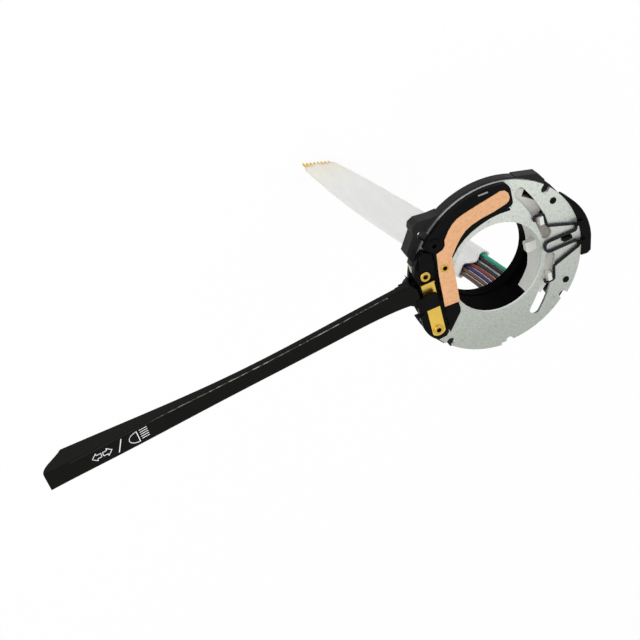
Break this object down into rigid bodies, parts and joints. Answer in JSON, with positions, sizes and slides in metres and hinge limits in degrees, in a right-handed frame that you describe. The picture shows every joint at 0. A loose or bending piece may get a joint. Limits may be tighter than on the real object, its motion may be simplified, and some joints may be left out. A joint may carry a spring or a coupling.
{
  "type": "combination stalk switch",
  "caption": "Column-mounted turn signal and headlamp stalk switch with long tapered lever, round mounting plate, turn ring, return spring and flat wiring harness.",
  "frame": {"origin": "centre of the collar's bore at its rear end", "axes": "+Z along the steering column towards the steering wheel, the lever points to -X, +X towards the return spring"},
  "size_m": [0.2454, 0.0795, 0.2127],
  "materials": {
    "zinc_steel": "zinc-plated, slightly yellow",
    "black_moulding": "fine matt",
    "white_nylon": "smooth matt",
    "spring_steel": "drawn wire",
    "pin_steel": "ground",
    "brass": "stamped",
    "copper": "stamped copper alloy",
    "laminate": "pressed laminate board",
    "solder": "tinned",
    "clear_pvc": "clear flexible tube",
    "insulation_green": "extruded insulation",
    "insulation_black": "extruded insulation",
    "insulation_white": "extruded insulation",
    "insulation_grey": "extruded insulation",
    "insulation_red": "extruded insulation",
    "insulation_blue": "extruded insulation",
    "insulation_brown": "extruded insulation",
    "insulation_violet": "extruded insulation"
  },
  "bodies": {
    "base": {"base_plate": "zinc_steel", "column_collar": "black_moulding", "rear_housing": "black_moulding", "contact_board": "laminate", "fixed_contacts": "brass", "stake_pins": "black_moulding", "spring_guard": "black_moulding", "horn_contact_carrier": "black_moulding", "horn_contact_strip": "copper", "strip_eyelet": "brass", "leaf_base": "black_moulding", "flasher_leaf": "brass", "leaf_rivet": "brass", "guide_block": "black_moulding", "guide_rivet": "brass", "pivot_pin": "pin_steel", "return_spring": "spring_steel", "solder_tags": "solder", "harness_sleeve": "clear_pvc", "wire_terminals": "brass", "wire_green": "insulation_green", "wire_black": "insulation_black", "wire_white": "insulation_white", "wire_grey": "insulation_grey", "wire_red": "insulation_red", "wire_blue": "insulation_blue", "wire_brown": "insulation_brown", "wire_violet": "insulation_violet"},
    "yoke": {"lever_yoke": "black_moulding", "drive_pin": "pin_steel", "tilt_pin": "pin_steel", "detent_spring": "spring_steel"},
    "lever": {"lever_arm": "black_moulding", "lever_core": "pin_steel", "contact_pusher": "black_moulding"},
    "turn_ring": {"turn_ring": "white_nylon", "bridge_contacts": "brass", "cancel_finger": "white_nylon"},
    "detent_ball": {"detent_ball": "pin_steel"}
  },
  "joints": [
    {"name": "turn_swing", "type": "hinge", "parent": "base", "child": "yoke", "pos_m": [-0.0362, 0.0035, 0.0162], "axis": [0, 0, 1], "range_deg": [-12, 12]},
    {"name": "flash_pull", "type": "hinge", "parent": "yoke", "child": "lever", "pos_m": [-0.0409, 0.004, 0.0186], "axis": [0, 1, 0], "range_deg": [0, 6], "stiffness_Nm_per_rad": 1.5, "springref_deg": -20.05},
    {"name": "ring_swing", "type": "hinge", "parent": "base", "child": "turn_ring", "pos_m": [0, 0, 0.0162], "axis": [0, 0, 1], "range_deg": [-5.8, 5.8], "deforming": ["return_spring"]},
    {"name": "detent_lift", "type": "slide", "parent": "yoke", "child": "detent_ball", "axis": [0, 0, 1], "range_m": [0, 0.0005], "stiffness_N_per_m": 2000, "springref_m": -0.002, "deforming": ["detent_spring"]}
  ],
  "couplings": [
    {"joint": "ring_swing", "follows": "turn_swing", "ratio": -0.478}
  ]
}
